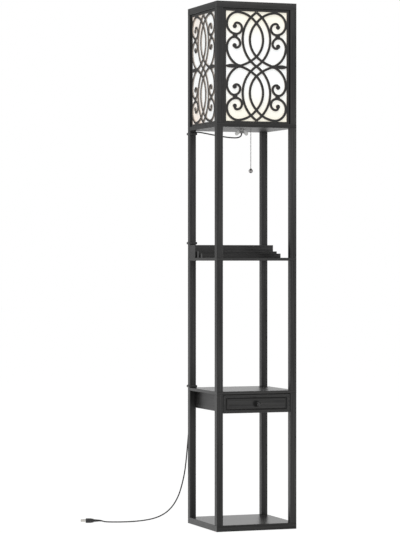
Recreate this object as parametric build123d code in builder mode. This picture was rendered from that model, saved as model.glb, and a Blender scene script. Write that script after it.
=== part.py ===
from build123d import *
from math import cos, pi, radians, sin, sqrt, tan
import os

os.makedirs("parts", exist_ok=True)

# A shelf floor lamp: four stacked bays of square posts between boards, a drawer under one board,
# a slotted organizer on the next, and a lamp box with scroll lattice panels at the top.
# Millimetres, +Z up, front towards -Y, origin at the centre of the base's underside.

# ---- Frame: overall plan and heights ----
plan_width = 259.0
plan_depth = 259.0
post_size = 20.0
post_bevel = 0.8
board_bevel = 0.6
base_thick = 19.0
bay_height = 394.5
shelf_thick = 9.0
shade_board_thick = 12.0
lamp_bay_height = 347.5
top_rail_height = 20.0
top_rail_width = 20.0

# ---- Fasteners of the frame ----
stud_dia = 6.0
stud_length = 50.0
stud_clearance = 0.1
stud_end_gap = 0.5
rail_bite = 14.0
screw_dia = 5.0
screw_length = 45.0
screw_head_dia = 9.5
screw_sink = 0.4
screw_clearance = 0.1

# ---- Lattice panels and shade sheets of the lamp box ----
lattice_recess = 2.8
lattice_thick = 3.0
tongue = 4.0
tongue_gap = 0.3
sheet_thick = 1.0
sheet_gap = 0.1
panel_end_gap = 0.1
lattice_bar = 7.1
strip_front = 10.9
strip_side = 9.0
strip_top = 8.8
strip_bottom = 6.5

# ---- Drawer and its housing ----
front_height = 55.6
front_thick = 12.0
front_side_gap = 1.25
front_top_gap = 1.5
front_bevel = 0.8
field_margin = 6.1
field_groove = 9.6
field_groove_floor = 0.8
field_groove_depth = 3.2
housing_height = 53.5
housing_thick = 9.0
housing_gap = 0.5
ledge_width = 8.0
ledge_height = 6.0
drawer_wall = 9.0
drawer_side_gap = 0.8
drawer_ledge_gap = 0.3
drawer_wall_height = 36.5
drawer_back_room = 12.0
drawer_floor_thick = 3.0
drawer_floor_height = 5.0
floor_bite = 4.0
floor_clearance = 0.2
knob_reach = 20.0
knob_dia = 14.6
knob_neck_dia = 8.4
knob_foot_dia = 11.0
knob_foot_height = 2.4
knob_head_height = 10.0
knob_dome_height = 6.5
knob_screw_dia = 4.0
knob_screw_bite = 11.0
knob_screw_head_dia = 8.0
knob_screw_head_height = 2.4

# ---- Organizer on the middle shelf ----
block_depth = 47.0
block_height = 39.5
slot_width = 19.0
divider_thick = 12.5
middle_divider_height = 20.0
front_divider_height = 13.0
organizer_bevel = 0.6

# ---- Lamp holder, bulb and pull chain ----
nipple_dia = 10.0
nipple_bore = 6.5
nipple_clearance = 0.1
nipple_below = 10.0
nipple_above = 22.0
washer_dia = 19.0
washer_thick = 1.3
wing_hub_dia = 14.6
wing_hub_end_dia = 11.0
wing_hub_height = 7.8
wing_span = 43.0
wing_drop = 18.0
wing_thick = 2.8
wing_tip_radius = 5.6
wing_root_radius = 3.6
bushing_flange_dia = 7.4
bushing_flange = 1.5
bushing_reach = 6.0
bushing_bore = 2.6
holder_cap_height = 24.0
holder_cap_dia = 35.0
holder_shell_dia = 38.0
holder_shell_height = 33.0
holder_wall = 2.0
holder_floor = 4.0
spout_dia = 7.0
spout_height = 17.0
spout_end = 3.5
bulb_cap_dia = 26.4
bulb_cap_height = 26.0
bulb_seat_gap = 0.2
bulb_cap_clearance = 0.3
bulb_dia = 60.0
bulb_glass_height = 88.0
bulb_wall = 1.0
chain_x = 30.4
chain_bead_dia = 3.2
chain_wire_dia = 1.0
chain_pitch = 4.2
chain_hole_dia = 6.0
chain_rise = 29.0
chain_drop = 120.2
chain_link_gap = 0.3
chain_bore_clearance = 0.3
ball_dia = 13.5
ball_neck_dia = 5.2
ball_neck_height = 1.6
ball_bore_depth = 7.0

# ---- Power cord, its straps and its plug ----
cord_dia = 4.0
strap_height = 7.6
strap_thick = 3.3
strap_round = 2.2
strap_clearance = 0.2
channel_depth = 6.4
channel_left = 6.0
top_strap_drop = 9.5
middle_strap_lift = 6.0
lower_strap_lift = 4.2
plug_width = 22.0
plug_thick = 13.0
plug_length = 24.0
plug_neck_dia = 8.0
plug_neck_length = 13.0
blade_spread = 12.7
blade_width = 6.3
blade_thick = 1.5
blade_length = 16.0
blade_bite = 5.0

# ---- Levels and places that follow from the sizes above ----
half_width = plan_width / 2
half_depth = plan_depth / 2
post_x = half_width - post_size / 2
post_y = half_depth - post_size / 2
inner_x = half_width - post_size
inner_y = half_depth - post_size
drawer_board_z = base_thick + bay_height
middle_board_z = drawer_board_z + shelf_thick + bay_height
shade_board_z = middle_board_z + shelf_thick + bay_height
lamp_bay_z = shade_board_z + shade_board_thick
top_rail_z = lamp_bay_z + lamp_bay_height
stud_bore = stud_dia / 2 + stud_clearance
post_places = {
    "front_left": (-1, -1),
    "front_right": (1, -1),
    "back_left": (-1, 1),
    "back_right": (1, 1),
}


def save(piece, name):
    """Label a finished piece and write it as one STEP file."""
    piece.part.label = name
    export_step(piece.part, f"parts/{name}.step")


def block(x_low, x_high, y_low, y_high, z_low, z_high, mode=Mode.ADD):
    """Add or cut a box between two corners, in the part that is being built."""
    with Locations(((x_low + x_high) / 2, (y_low + y_high) / 2, (z_low + z_high) / 2)):
        Box(x_high - x_low, y_high - y_low, z_high - z_low, mode=mode)


# ---- Boards ----
def make_board(name, bottom, thick, centre_bores=()):
    """A full-size board with a stud hole at each post, and bores of (x, diameter) on its mid line."""
    with BuildPart() as board:
        block(-half_width, half_width, -half_depth, half_depth, bottom, bottom + thick)
        chamfer(board.edges(), board_bevel)
        with Locations((0, 0, bottom + thick)):
            with GridLocations(2 * post_x, 2 * post_y, 2, 2):
                Hole(stud_bore, depth=thick)
        for bore_x, bore_dia in centre_bores:
            with Locations((bore_x, 0, bottom + thick)):
                Hole(bore_dia / 2, depth=thick)
    save(board, name)


def make_base_board():
    """The thick base, with a countersunk screw hole under each post."""
    head_depth = screw_head_dia / 2 + screw_sink
    with BuildPart() as base:
        block(-half_width, half_width, -half_depth, half_depth, 0, base_thick)
        chamfer(base.edges(), board_bevel)
        with BuildSketch(Plane.XY):
            with GridLocations(2 * post_x, 2 * post_y, 2, 2):
                Circle(screw_dia / 2 + screw_clearance)
        extrude(amount=base_thick, mode=Mode.SUBTRACT)
        for side_x, side_y in post_places.values():
            with Locations((side_x * post_x, side_y * post_y, head_depth / 2)):
                Cone(head_depth + screw_clearance, screw_clearance, head_depth, mode=Mode.SUBTRACT)
    save(base, "base_board")


nipple_hole = nipple_dia + 2 * nipple_clearance
make_base_board()
make_board("drawer_shelf_board", drawer_board_z, shelf_thick)
make_board("middle_shelf_board", middle_board_z, shelf_thick)
make_board(
    "shade_board",
    shade_board_z,
    shade_board_thick,
    centre_bores=[(0, nipple_hole), (chain_x, chain_hole_dia)],
)


# ---- Posts: one at each corner of each bay ----
shelf_bite = (stud_length - shelf_thick) / 2
shade_bite = (stud_length - shade_board_thick) / 2
top_bite = stud_length - rail_bite
screw_bite = screw_length - base_thick + screw_sink
groove_width = lattice_thick + sheet_gap + sheet_thick + 2 * sheet_gap
groove_depth = tongue + tongue_gap
groove_middle = lattice_recess + groove_width / 2


def make_post(name, sides, bottom, height, low_bore, high_bore, grooved=False):
    """A square post with a bore in each end, each given as (radius, depth).

    The lamp box's posts also have a groove along each inner face for a lattice panel and its sheet.
    """
    side_x, side_y = sides
    x, y = side_x * post_x, side_y * post_y
    with BuildPart() as post:
        with BuildSketch(Plane.XY.offset(bottom)) as section:
            with Locations((x, y)):
                Rectangle(post_size, post_size)
            chamfer(section.vertices(), post_bevel)
            if grooved:
                into_x = side_x * (inner_x + groove_depth / 2)
                into_y = side_y * (inner_y + groove_depth / 2)
                with Locations((into_x, side_y * (half_depth - groove_middle))):
                    Rectangle(groove_depth, groove_width, mode=Mode.SUBTRACT)
                with Locations((side_x * (half_width - groove_middle), into_y)):
                    Rectangle(groove_width, groove_depth, mode=Mode.SUBTRACT)
        extrude(amount=height)
        low_radius, low_depth = low_bore
        high_radius, high_depth = high_bore
        with BuildSketch(Plane.XY.offset(bottom)):
            with Locations((x, y)):
                Circle(low_radius)
        extrude(amount=low_depth, mode=Mode.SUBTRACT)
        with Locations((x, y, bottom + height)):
            Hole(high_radius, depth=high_depth)
    save(post, name)


screw_bore = (screw_dia / 2 + screw_clearance, screw_bite + stud_end_gap)
shelf_bore = (stud_bore, shelf_bite + stud_end_gap)
shade_bore = (stud_bore, shade_bite + stud_end_gap)
top_bore = (stud_bore, top_bite + stud_end_gap)
middle_bay_z = drawer_board_z + shelf_thick
upper_bay_z = middle_board_z + shelf_thick
for corner, corner_sides in post_places.items():
    make_post(f"lower_post_{corner}", corner_sides, base_thick, bay_height, screw_bore, shelf_bore)
    make_post(f"middle_post_{corner}", corner_sides, middle_bay_z, bay_height, shelf_bore, shelf_bore)
    make_post(f"upper_post_{corner}", corner_sides, upper_bay_z, bay_height, shelf_bore, shade_bore)
    make_post(
        f"lamp_post_{corner}",
        corner_sides,
        lamp_bay_z,
        lamp_bay_height,
        shade_bore,
        top_bore,
        grooved=True,
    )


# ---- Top ring: four rails, the front and back ones running the full width ----
def make_cross_rail(name, side_y):
    """The front or back rail, with a blind stud hole over each post."""
    edge, inside = side_y * half_depth, side_y * (half_depth - top_rail_width)
    with BuildPart() as rail:
        block(
            -half_width,
            half_width,
            min(edge, inside),
            max(edge, inside),
            top_rail_z,
            top_rail_z + top_rail_height,
        )
        chamfer(rail.edges(), board_bevel)
        with BuildSketch(Plane.XY.offset(top_rail_z)):
            with Locations((-post_x, side_y * post_y), (post_x, side_y * post_y)):
                Circle(stud_bore)
        extrude(amount=rail_bite + stud_end_gap, mode=Mode.SUBTRACT)
    save(rail, name)


def make_side_rail(name, side_x):
    """A side rail, glued between the front and back rails."""
    edge, inside = side_x * half_width, side_x * (half_width - top_rail_width)
    reach = half_depth - top_rail_width
    with BuildPart() as rail:
        block(
            min(edge, inside),
            max(edge, inside),
            -reach,
            reach,
            top_rail_z,
            top_rail_z + top_rail_height,
        )
        chamfer(rail.edges().filter_by(Axis.Y), board_bevel)
    save(rail, name)


make_cross_rail("top_rail_front", -1)
make_cross_rail("top_rail_back", 1)
make_side_rail("top_rail_left", -1)
make_side_rail("top_rail_right", 1)


# ---- Studs and base screws ----
def make_post_studs():
    """The double-ended studs that join the posts through each board and into the top ring."""
    stud_bottoms = [
        drawer_board_z - shelf_bite,
        middle_board_z - shelf_bite,
        shade_board_z - shade_bite,
        top_rail_z - top_bite,
    ]
    with BuildPart() as studs:
        for stud_bottom in stud_bottoms:
            with BuildSketch(Plane.XY.offset(stud_bottom)):
                with GridLocations(2 * post_x, 2 * post_y, 2, 2):
                    Circle(stud_dia / 2)
            extrude(amount=stud_length)
    save(studs, "post_studs")


def make_base_screws():
    """Countersunk screws that hold the base to the lower posts."""
    head_radius = screw_head_dia / 2
    shank_radius = screw_dia / 2
    with BuildPart() as screws:
        with BuildSketch(Plane.XY.offset(screw_sink)):
            with GridLocations(2 * post_x, 2 * post_y, 2, 2):
                Circle(shank_radius)
        extrude(amount=screw_length)
        for side_x, side_y in post_places.values():
            middle = screw_sink + (head_radius - shank_radius) / 2
            with Locations((side_x * post_x, side_y * post_y, middle)):
                Cone(head_radius, shank_radius, head_radius - shank_radius)
    save(screws, "base_screws")


make_post_studs()
make_base_screws()


# ---- Lattice panels: a flat frame filled with mirrored scrolls ----
# The pattern is drawn for a quarter of a panel whose opening is twice pattern_half_x wide and twice
# pattern_half_z high, X outwards and Z upwards from the opening's centre. Each panel stretches it
# to its own opening. Every bar is a chain of arcs given by its centre line.
pattern_half_x = 98.4
pattern_half_z = 166.1
outer_lens_top = 163.5
outer_lens_bulge = 44.6
inner_lens_top = 131.3
inner_lens_low = 29.6
inner_lens_bulge = 21.4
shoulder = (17.8, 148.6)
scroll_top = (59.3, 163.3)
upper_scroll_radii = (36.2, 30.2, 18.2, 15.8, 7.2)
upper_curl = 6.5
lower_sweep = (25.3, 11.8)
junction = (54.4, 0.6)
outer_sweep = (84.2, 22.6)
lower_scroll_side = (95.5, 57.0)
lower_shoulder_radius = 34.6
lower_shoulder_turn = 50.0
lower_crown_radius = 17.0
lower_scroll_radii = (19.5, 12.4, 6.5)
lower_curl = 6.7
tie_centre = (69.0, 92.2)
tie_size = (15.0, 6.4)
leaf_inner = 60.0
leaf_outer = 103.0
leaf_half_height = 6.0


def arc_about(at, centre, radius, start_angle, end_angle):
    """One arc of a bar's centre line about a point; returns its end point."""
    x, z = centre
    middle_angle = (start_angle + end_angle) / 2
    points = []
    for angle in (start_angle, middle_angle, end_angle):
        points.append((x + radius * cos(radians(angle)), z + radius * sin(radians(angle))))
    ThreePointArc(*[at(*point) for point in points])
    return points[-1]


def quarter_turns(at, start, radii, start_angle, step):
    """A scroll of quarter arcs, each tangent to the last and with its own radius."""
    point, angle = start, start_angle
    for radius in radii:
        x, z = point
        centre = (x - radius * cos(radians(angle)), z - radius * sin(radians(angle)))
        point = arc_about(at, centre, radius, angle, angle + step)
        angle += step
    return point


def draw_quarter(at):
    """Centre lines of the bars in one quarter of the pattern; returns the ends of its curls."""
    lens_middle = outer_lens_top / 2
    inner_middle = (inner_lens_top + inner_lens_low) / 2
    ThreePointArc(at(0, outer_lens_top), at(outer_lens_bulge, lens_middle), at(0, 0))
    ThreePointArc(at(0, inner_lens_top), at(inner_lens_bulge, inner_middle), at(0, inner_lens_low))
    ThreePointArc(at(0, inner_lens_top), at(*shoulder), at(*scroll_top))
    upper_end = quarter_turns(at, scroll_top, upper_scroll_radii, 90, -90)
    ThreePointArc(at(0, inner_lens_low), at(*lower_sweep), at(*junction))
    ThreePointArc(at(*junction), at(*outer_sweep), at(*lower_scroll_side))
    side_x, side_z = lower_scroll_side
    crown_start = arc_about(
        at, (side_x - lower_shoulder_radius, side_z), lower_shoulder_radius, 0, lower_shoulder_turn
    )
    turn = radians(lower_shoulder_turn)
    crown_centre = (
        crown_start[0] - lower_crown_radius * cos(turn),
        crown_start[1] - lower_crown_radius * sin(turn),
    )
    crown_end = arc_about(at, crown_centre, lower_crown_radius, lower_shoulder_turn, 90)
    lower_end = quarter_turns(at, crown_end, lower_scroll_radii, 90, 90)
    return upper_end, lower_end


def lattice_outline(panel_width, panel_height, strip):
    """The flat outline of a whole lattice panel, about its own centre."""
    opening_half_x = panel_width / 2 - tongue - strip
    opening_height = panel_height - strip_top - strip_bottom
    centre_z = (strip_bottom - strip_top) / 2
    stretch_x = opening_half_x / pattern_half_x
    stretch_z = opening_height / 2 / pattern_half_z
    with BuildSketch() as outline:
        Rectangle(panel_width, panel_height)
        with Locations((0, centre_z)):
            Rectangle(2 * opening_half_x, opening_height, mode=Mode.SUBTRACT)
        for side, half in ((1, 1), (1, -1), (-1, 1), (-1, -1)):

            def at(x, z):
                return (side * x * stretch_x, half * z * stretch_z + centre_z)

            with BuildLine():
                upper_end, lower_end = draw_quarter(at)
            trace(line_width=lattice_bar)
            with Locations(at(0, inner_lens_top), at(0, inner_lens_low)):
                Circle(lattice_bar / 2)
            with Locations(at(*junction)):
                Circle(lattice_bar * 0.7)
            with Locations(at(upper_end[0], upper_end[1] - upper_curl / 2)):
                Circle(upper_curl)
            with Locations(at(lower_end[0] - 1, lower_end[1])):
                Circle(lower_curl)
            with Locations(at(*tie_centre)):
                Rectangle(*tie_size)
            leaf_middle = (leaf_inner + leaf_outer) / 2
            with BuildLine():
                ThreePointArc(at(leaf_inner, 0), at(leaf_middle, leaf_half_height), at(leaf_outer, 0))
                Line(at(leaf_outer, 0), at(leaf_inner, 0))
            make_face()
    return outline.sketch


def side_plane(turn, distance):
    """The upright plane that faces outwards on one side of the lamp box, turned from the front."""
    angle = radians(turn)
    outwards = (sin(angle), -cos(angle), 0)
    origin = (distance * outwards[0], distance * outwards[1], lamp_bay_z + lamp_bay_height / 2)
    return Plane(origin=origin, x_dir=(cos(angle), sin(angle), 0), z_dir=outwards)


def make_lamp_side(side_name, turn, clear_width, half_size, strip):
    """One side's lattice panel and the shade sheet behind it, held in the posts' grooves."""
    panel_width = clear_width + 2 * tongue
    panel_height = lamp_bay_height - 2 * panel_end_gap
    with BuildPart() as panel:
        with BuildSketch(side_plane(turn, half_size - lattice_recess)):
            add(lattice_outline(panel_width, panel_height, strip))
        extrude(amount=-lattice_thick)
    save(panel, f"lattice_panel_{side_name}")
    sheet_front = half_size - lattice_recess - lattice_thick - sheet_gap
    with BuildPart() as sheet:
        with BuildSketch(side_plane(turn, sheet_front)):
            Rectangle(panel_width, panel_height)
        extrude(amount=-sheet_thick)
    save(sheet, f"shade_sheet_{side_name}")


make_lamp_side("front", 0, 2 * inner_x, half_depth, strip_front)
make_lamp_side("right", 90, 2 * inner_y, half_width, strip_side)
make_lamp_side("back", 180, 2 * inner_x, half_depth, strip_front)
make_lamp_side("left", 270, 2 * inner_y, half_width, strip_side)


# ---- Drawer housing: two sides with ledges and a back, hung under the drawer shelf ----
housing_bottom = drawer_board_z - housing_height
front_top = drawer_board_z - front_top_gap
front_bottom = front_top - front_height
front_back_y = -half_depth + front_thick
housing_front_y = front_back_y + housing_gap
housing_inner_x = inner_x - housing_thick


with BuildPart() as housing_sides:
    for side_x in (-1, 1):
        outer, inner = side_x * inner_x, side_x * housing_inner_x
        ledge = side_x * (housing_inner_x - ledge_width)
        block(
            min(outer, inner),
            max(outer, inner),
            housing_front_y,
            half_depth,
            housing_bottom,
            drawer_board_z,
        )
        block(
            min(ledge, inner),
            max(ledge, inner),
            housing_front_y,
            half_depth - housing_thick,
            housing_bottom,
            housing_bottom + ledge_height,
        )
save(housing_sides, "housing_sides")

with BuildPart() as housing_back:
    block(
        -housing_inner_x,
        housing_inner_x,
        half_depth - housing_thick,
        half_depth,
        housing_bottom,
        drawer_board_z,
    )
save(housing_back, "housing_back")

# ---- Drawer ----
front_half = inner_x - front_side_gap
knob_z = (front_top + front_bottom) / 2
box_half = housing_inner_x - drawer_side_gap
box_inner = box_half - drawer_wall
box_bottom = housing_bottom + ledge_height + drawer_ledge_gap
box_top = box_bottom + drawer_wall_height
box_back = half_depth - housing_thick - drawer_back_room
box_back_inner = box_back - drawer_wall
floor_bottom = box_bottom + drawer_floor_height
floor_top = floor_bottom + drawer_floor_thick


def cut_floor_groove():
    """Cut the groove that holds the drawer's floor out of the front, a side or the back."""
    block(
        -box_inner - floor_bite,
        box_inner + floor_bite,
        front_back_y - floor_bite,
        box_back_inner + floor_bite,
        floor_bottom - floor_clearance / 2,
        floor_top + floor_clearance / 2,
        mode=Mode.SUBTRACT,
    )


# The front has a raised field inside a V-shaped groove: a shallow pan is cut, and the field stands in it.
groove_slope = (field_groove - field_groove_floor) / 2
field_edge = field_margin + field_groove
pan_outlines = [(field_margin, 0), (field_margin + groove_slope, field_groove_depth)]
field_outlines = [(field_edge - groove_slope, field_groove_depth), (field_edge, 0)]
with BuildPart() as drawer_front:
    block(-front_half, front_half, -half_depth, front_back_y, front_bottom, front_top)
    chamfer(drawer_front.faces().sort_by(Axis.Y)[0].edges(), front_bevel)
    for outlines, outline_mode in ((pan_outlines, Mode.SUBTRACT), (field_outlines, Mode.ADD)):
        for inset, depth in outlines:
            with BuildSketch(Plane.XZ.offset(half_depth - depth)):
                with Locations((0, knob_z)):
                    Rectangle(2 * (front_half - inset), front_height - 2 * inset)
        loft(mode=outline_mode)
    cut_floor_groove()
    with BuildSketch(Plane.XZ.offset(half_depth)):
        with Locations((0, knob_z)):
            Circle(knob_screw_dia / 2 + screw_clearance)
    extrude(amount=-front_thick, mode=Mode.SUBTRACT)
save(drawer_front, "drawer_front")

with BuildPart() as drawer_sides:
    block(-box_half, -box_inner, front_back_y, box_back, box_bottom, box_top)
    block(box_inner, box_half, front_back_y, box_back, box_bottom, box_top)
    cut_floor_groove()
save(drawer_sides, "drawer_sides")

with BuildPart() as drawer_back:
    block(-box_inner, box_inner, box_back_inner, box_back, box_bottom, box_top)
    cut_floor_groove()
save(drawer_back, "drawer_back")

with BuildPart() as drawer_floor:
    block(
        -box_inner - floor_bite + floor_clearance,
        box_inner + floor_bite - floor_clearance,
        front_back_y - floor_bite + floor_clearance,
        box_back_inner + floor_bite - floor_clearance,
        floor_bottom,
        floor_top,
    )
save(drawer_floor, "drawer_floor")

knob_plane = Plane(origin=(0, -half_depth, knob_z), x_dir=(1, 0, 0), z_dir=(0, 0, 1))
with BuildPart() as drawer_knob:
    with BuildSketch(knob_plane):
        with BuildLine():
            foot_end = knob_foot_height
            head_start = knob_reach - knob_head_height
            head_widest = knob_reach - knob_dome_height
            Polyline(
                (0, 0),
                (knob_foot_dia / 2, 0),
                (knob_foot_dia / 2, -foot_end),
            )
            ThreePointArc(
                (knob_foot_dia / 2, -foot_end),
                (knob_neck_dia / 2, -(foot_end + head_start) / 2),
                (knob_foot_dia / 2, -head_start),
            )
            Line((knob_foot_dia / 2, -head_start), (knob_dia / 2, -head_widest))
            Spline(
                (knob_dia / 2, -head_widest),
                (0, -knob_reach),
                tangents=((0, -1), (-1, 0)),
            )
            Line((0, -knob_reach), (0, 0))
        make_face()
    revolve(axis=Axis(origin=(0, 0, knob_z), direction=(0, 1, 0)))
    with BuildSketch(Plane.XZ.offset(half_depth)):
        with Locations((0, knob_z)):
            Circle(knob_screw_dia / 2 + screw_clearance)
    extrude(amount=knob_screw_bite + stud_end_gap, mode=Mode.SUBTRACT)
save(drawer_knob, "drawer_knob")

with BuildPart() as knob_screw:
    with BuildSketch(Plane.XZ.offset(-front_back_y)):
        with Locations((0, knob_z)):
            Circle(knob_screw_dia / 2)
    extrude(amount=front_thick + knob_screw_bite)
    with BuildSketch(Plane.XZ.offset(-front_back_y)):
        with Locations((0, knob_z)):
            Circle(knob_screw_head_dia / 2)
    extrude(amount=-knob_screw_head_height)
    fillet(knob_screw.faces().sort_by(Axis.Y)[-1].edges(), knob_screw_head_height / 3)
save(knob_screw, "knob_screw")


# ---- Organizer: a block and two dividers across the full width ----
def make_cross_bar(name, y_low, y_high, height):
    """A bar of the organizer that lies across the middle shelf."""
    with BuildPart() as bar:
        block(-half_width, half_width, y_low, y_high, upper_bay_z, upper_bay_z + height)
        chamfer(bar.edges(), organizer_bevel)
    save(bar, name)


block_front = inner_y - block_depth
middle_divider_front = block_front - slot_width - divider_thick
front_divider_front = middle_divider_front - slot_width - divider_thick
make_cross_bar("organizer_block", block_front, inner_y, block_height)
make_cross_bar(
    "organizer_middle_divider",
    middle_divider_front,
    middle_divider_front + divider_thick,
    middle_divider_height,
)
make_cross_bar(
    "organizer_front_divider",
    front_divider_front,
    front_divider_front + divider_thick,
    front_divider_height,
)

# ---- Lamp holder: threaded nipple through the shade board, washer and wing nut below ----
nipple_bottom = shade_board_z - nipple_below
nipple_top = lamp_bay_z + nipple_above
washer_bottom = shade_board_z - washer_thick
wing_bottom = washer_bottom - wing_hub_height


def tube(outer_dia, bore_dia, bottom, height):
    """Add a straight tube about the lamp's axis to the part that is being built."""
    with BuildSketch(Plane.XY.offset(bottom)) as ring:
        Circle(outer_dia / 2)
        Circle(bore_dia / 2, mode=Mode.SUBTRACT)
    extrude(ring.sketch, amount=height)


with BuildPart() as nipple:
    tube(nipple_dia, nipple_bore, nipple_bottom, nipple_top - nipple_bottom)
save(nipple, "nipple")

with BuildPart() as washer:
    tube(washer_dia, nipple_hole, washer_bottom, washer_thick)
save(washer, "nipple_washer")

with BuildPart() as wing_nut:
    with BuildSketch(Plane.XZ):
        for side in (1, -1):
            with BuildSketch(Plane.XZ) as wing:
                with Locations(
                    (
                        side * (wing_span / 2 - wing_tip_radius),
                        shade_board_z - wing_drop + wing_tip_radius,
                    )
                ):
                    Circle(wing_tip_radius)
                with Locations((side * wing_hub_end_dia / 2, wing_bottom + wing_hub_height / 2)):
                    Circle(wing_root_radius)
                make_hull()
    extrude(amount=wing_thick / 2, both=True)
    with BuildSketch(Plane.XY.offset(wing_bottom)):
        Circle(wing_hub_end_dia / 2)
    with BuildSketch(Plane.XY.offset(washer_bottom)):
        Circle(wing_hub_dia / 2)
    loft()
    with Locations((0, 0, washer_bottom)):
        Hole(nipple_hole / 2, depth=wing_drop - washer_thick)
save(wing_nut, "wing_nut")

with BuildPart() as cord_bushing:
    tube(bushing_flange_dia, bushing_bore, nipple_bottom - bushing_flange, bushing_flange)
    tube(nipple_bore - 2 * nipple_clearance, bushing_bore, nipple_bottom, bushing_reach)
save(cord_bushing, "cord_bushing")

# ---- Holder body: a cap with the pull switch's spout, and the shell round the bulb's thread ----
cap_top = lamp_bay_z + holder_cap_height
spout_z = lamp_bay_z + spout_height
shell_top = cap_top + holder_shell_height
with BuildPart() as holder_cap:
    with BuildSketch(Plane.XY.offset(lamp_bay_z)):
        Circle(holder_cap_dia / 2)
    extrude(amount=holder_cap_height)
    fillet(holder_cap.faces().sort_by(Axis.Z)[0].edges(), holder_wall)
    with BuildSketch(Plane.YZ.offset(holder_cap_dia / 2 - holder_wall)):
        with Locations((0, spout_z)):
            Circle(spout_dia / 2)
    extrude(amount=chain_x + spout_end - holder_cap_dia / 2 + holder_wall)
    with BuildSketch(Plane.XY.offset(lamp_bay_z + holder_floor)):
        Circle(holder_cap_dia / 2 - holder_wall)
    extrude(amount=holder_cap_height, mode=Mode.SUBTRACT)
    with Locations((0, 0, lamp_bay_z + holder_floor)):
        Hole(nipple_hole / 2, depth=holder_floor)
    with BuildSketch(Plane.XY.offset(spout_z - spout_dia)):
        with Locations((chain_x, 0)):
            Circle(chain_bead_dia / 2 + chain_bore_clearance)
    extrude(amount=spout_dia + chain_bead_dia / 2, mode=Mode.SUBTRACT)
save(holder_cap, "lamp_holder_cap")

shell_bore = bulb_cap_dia / 2 + bulb_cap_clearance
with BuildPart() as holder_shell:
    with BuildSketch(Plane.XY.offset(cap_top)):
        Circle(holder_shell_dia / 2)
    extrude(amount=holder_shell_height)
    fillet(holder_shell.faces().sort_by(Axis.Z)[-1].edges(), holder_wall)
    with Locations((0, 0, shell_top)):
        Hole(shell_bore, depth=holder_shell_height - holder_floor)
save(holder_shell, "lamp_holder_shell")

# ---- Bulb: threaded metal cap and glass envelope ----
bulb_z = cap_top + holder_floor + bulb_seat_gap
glass_z = bulb_z + bulb_cap_height
glass_top = glass_z + bulb_glass_height
thread_pitch = 3.6
thread_depth = 1.0
with BuildPart() as bulb_cap:
    with BuildSketch(Plane.XZ):
        with BuildLine():
            cap_radius = bulb_cap_dia / 2
            contact_radius = cap_radius / 3
            thread_start = bulb_z + cap_radius / 2
            Polyline(
                (0, bulb_z),
                (contact_radius, bulb_z),
                (cap_radius - thread_depth, thread_start),
            )
            turns = int((glass_z - thread_start) / thread_pitch)
            for turn in range(turns):
                low = thread_start + turn * thread_pitch
                ThreePointArc(
                    (cap_radius - thread_depth, low),
                    (cap_radius, low + thread_pitch / 2),
                    (cap_radius - thread_depth, low + thread_pitch),
                )
            Polyline(
                (cap_radius - thread_depth, thread_start + turns * thread_pitch),
                (cap_radius - thread_depth, glass_z),
                (0, glass_z),
                (0, bulb_z),
            )
        make_face()
    revolve(axis=Axis.Z)
save(bulb_cap, "bulb_cap")

with BuildPart() as bulb_glass:
    with BuildSketch(Plane.XZ):
        with BuildLine():
            globe_radius = bulb_dia / 2
            globe_z = glass_top - globe_radius
            neck_radius = bulb_cap_dia / 2 - thread_depth
            Line((0, glass_z), (neck_radius, glass_z))
            Spline(
                (neck_radius, glass_z),
                (globe_radius, globe_z),
                tangents=((0, 1), (0, 1)),
            )
            ThreePointArc(
                (globe_radius, globe_z),
                (globe_radius * cos(radians(45)), globe_z + globe_radius * sin(radians(45))),
                (0, glass_top),
            )
            Line((0, glass_top), (0, glass_z))
        make_face()
    revolve(axis=Axis.Z)
    offset(amount=-bulb_wall, openings=bulb_glass.faces().sort_by(Axis.Z)[0])
save(bulb_glass, "bulb_glass")


# ---- Pull chain: balls on a wire, in two lengths that meet inside the shade board's hole ----
def make_chain(name, top, length):
    """A straight length of ball chain that hangs down from its top."""
    bead_radius = chain_bead_dia / 2
    wire_radius = chain_wire_dia / 2
    half_chord = sqrt(bead_radius**2 - wire_radius**2)
    count = int((length - chain_bead_dia) / chain_pitch) + 1
    pitch = (length - 2 * half_chord) / (count - 1)
    chain_plane = Plane(origin=(chain_x, 0, top - half_chord), x_dir=(1, 0, 0), z_dir=(0, -1, 0))
    with BuildPart() as chain:
        with BuildSketch(chain_plane):
            with BuildLine():
                Line((0, half_chord), (wire_radius, half_chord))
                for bead in range(count):
                    middle = -bead * pitch
                    ThreePointArc(
                        (wire_radius, middle + half_chord),
                        (bead_radius, middle),
                        (wire_radius, middle - half_chord),
                    )
                    if bead < count - 1:
                        Line(
                            (wire_radius, middle - half_chord),
                            (wire_radius, middle - pitch + half_chord),
                        )
                last = -(count - 1) * pitch - half_chord
                Polyline((wire_radius, last), (0, last), (0, half_chord))
            make_face()
        revolve(axis=Axis(origin=(chain_x, 0, 0), direction=(0, 0, 1)))
    save(chain, name)


ball_z = shade_board_z - chain_drop - ball_dia / 2
ball_top = ball_z + ball_dia / 2 + ball_neck_height
chain_end = ball_top - ball_bore_depth + stud_end_gap
chain_joint_z = shade_board_z + chain_link_gap
make_chain("pull_chain_upper", shade_board_z + chain_rise, chain_rise - 2 * chain_link_gap)
make_chain("pull_chain_lower", chain_joint_z, chain_joint_z - chain_end)

with BuildPart() as chain_ball:
    with Locations((chain_x, 0, ball_z)):
        Sphere(ball_dia / 2)
    with BuildSketch(Plane.XY.offset(ball_z)):
        with Locations((chain_x, 0)):
            Circle(ball_neck_dia / 2)
    extrude(amount=ball_top - ball_z)
    fillet(chain_ball.faces().sort_by(Axis.Z)[-1].edges(), ball_neck_dia / 8)
    with Locations((chain_x, 0, ball_top)):
        Hole(chain_bead_dia / 2 + chain_link_gap, depth=ball_bore_depth)
save(chain_ball, "chain_ball")

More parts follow.
